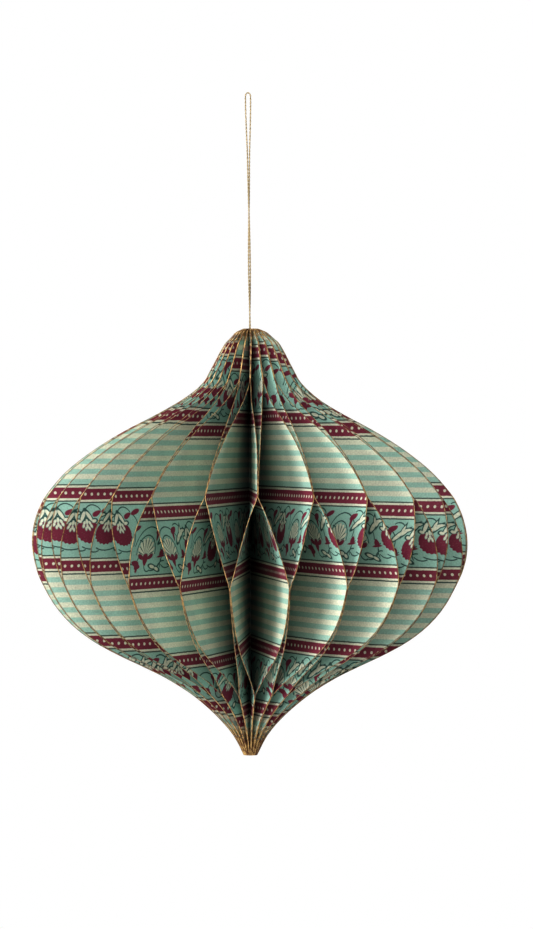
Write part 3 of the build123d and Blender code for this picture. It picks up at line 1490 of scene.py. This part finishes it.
@dataclass(frozen=True)
class Softbox:
    """A square light that faces the ornament.

    Args:
        name: Its name.
        azimuth: Where it stands, in degrees to the right of the camera.
        elevation: Its height over the ornament, in degrees.
        power: Its power in watts.
        distance: Its distance.
        side: Its side.
    """

    name: str
    azimuth: float
    elevation: float
    power: float
    distance: float = 1.3
    side: float = 0.7

    def build(self, centre: Vector) -> bpy.types.Object:
        """Makes the light.

        Args:
            centre: What it faces.

        Returns:
            The light.
        """
        data = bpy.data.lights.new(self.name, "AREA")
        data.size = self.side
        data.energy = self.power
        light = new_object(data)
        turn, rise = math.radians(self.azimuth), math.radians(self.elevation)
        way = Vector((math.sin(turn) * math.cos(rise), -math.cos(turn) * math.cos(rise), math.sin(rise)))
        light.location = centre + way * self.distance
        light.rotation_euler = (-way).to_track_quat("-Z", "Y").to_euler()
        return light


SOFTBOXES = (
    Softbox("low key", -46.0, 0.0, 16.8),
    Softbox("high key", -24.0, 50.0, 9.4),
    Softbox("side", -68.0, 50.0, 2.4),
    Softbox("front", 0.0, 25.0, 5.8),
    Softbox("right fill", 112.0, 25.0, 8.0),
    Softbox("back fill", -140.0, 32.0, 9.0),
)


@dataclass
class Studio:
    """Floor, lights and surroundings.

    Args:
        ambient: Strength of the light from all round.
        contrast: Gamma of the picture; under 1 deepens the shadows.
        belly_height: Height over the tip of what the lights face.
        floor_drop: How far under the ornament the floor lies.
        floor_radius: Radius of the floor.
    """

    ambient: float = 0.1
    contrast: float = 0.78
    belly_height: float = 0.075
    floor_drop: float = 0.35
    floor_radius: float = 1.15

    def build(self) -> None:
        """Makes the studio."""
        low, _ = cad_bounds
        for softbox in SOFTBOXES:
            softbox.build(Vector((0.0, 0.0, low.z + self.belly_height)))
        self.surround()
        self.floor(low.z - self.floor_drop)
        bpy.context.scene.view_settings.view_transform = "Standard"
        bpy.context.scene.view_settings.gamma = self.contrast
        LOG.info("studio: %d softboxes and a pale floor", len(SOFTBOXES))

    def surround(self) -> None:
        """White surroundings, dimmer as light than as background."""
        world = bpy.data.worlds.new("studio")
        world.use_nodes = True
        bench = Bench(world.node_tree)
        seen = Term(bench.tree, bench.node("ShaderNodeLightPath").outputs["Is Camera Ray"])
        strength = seen * (1.0 - self.ambient) + self.ambient
        bench.fill(world.node_tree.nodes["Background"], {"Color": (1.0, 1.0, 1.0), "Strength": strength})
        bpy.context.scene.world = world

    def floor(self, height: float) -> bpy.types.Object:
        """A round pale floor.

        Args:
            height: Its height.

        Returns:
            The floor.
        """
        mesh = bpy.data.meshes.new("floor")
        turns = np.linspace(0.0, math.tau, 96, endpoint=False)
        rim = [(self.floor_radius * math.cos(t), self.floor_radius * math.sin(t), height) for t in turns]
        mesh.from_pydata(rim, [], [tuple(range(len(rim)))])
        material, bench, shader = new_material("pale floor")
        bench.fill(shader, {"Base Color": (0.86, 0.85, 0.83), "Roughness": 0.9})
        mesh.materials.append(material)
        floor = new_object(mesh)
        return floor


def main() -> None:
    """Builds the camera, the cord, the fan and the studio, in that order."""
    logging.basicConfig(level=logging.INFO, format="%(name)s: %(message)s")
    Portrait().build()
    HangingLoop(ThreadFinish()).build()
    PaperFan(PaperFinish(), PrintLayout(), SEEN_CUTS).build()
    Studio().build()


if __name__ == "__main__":
    main()
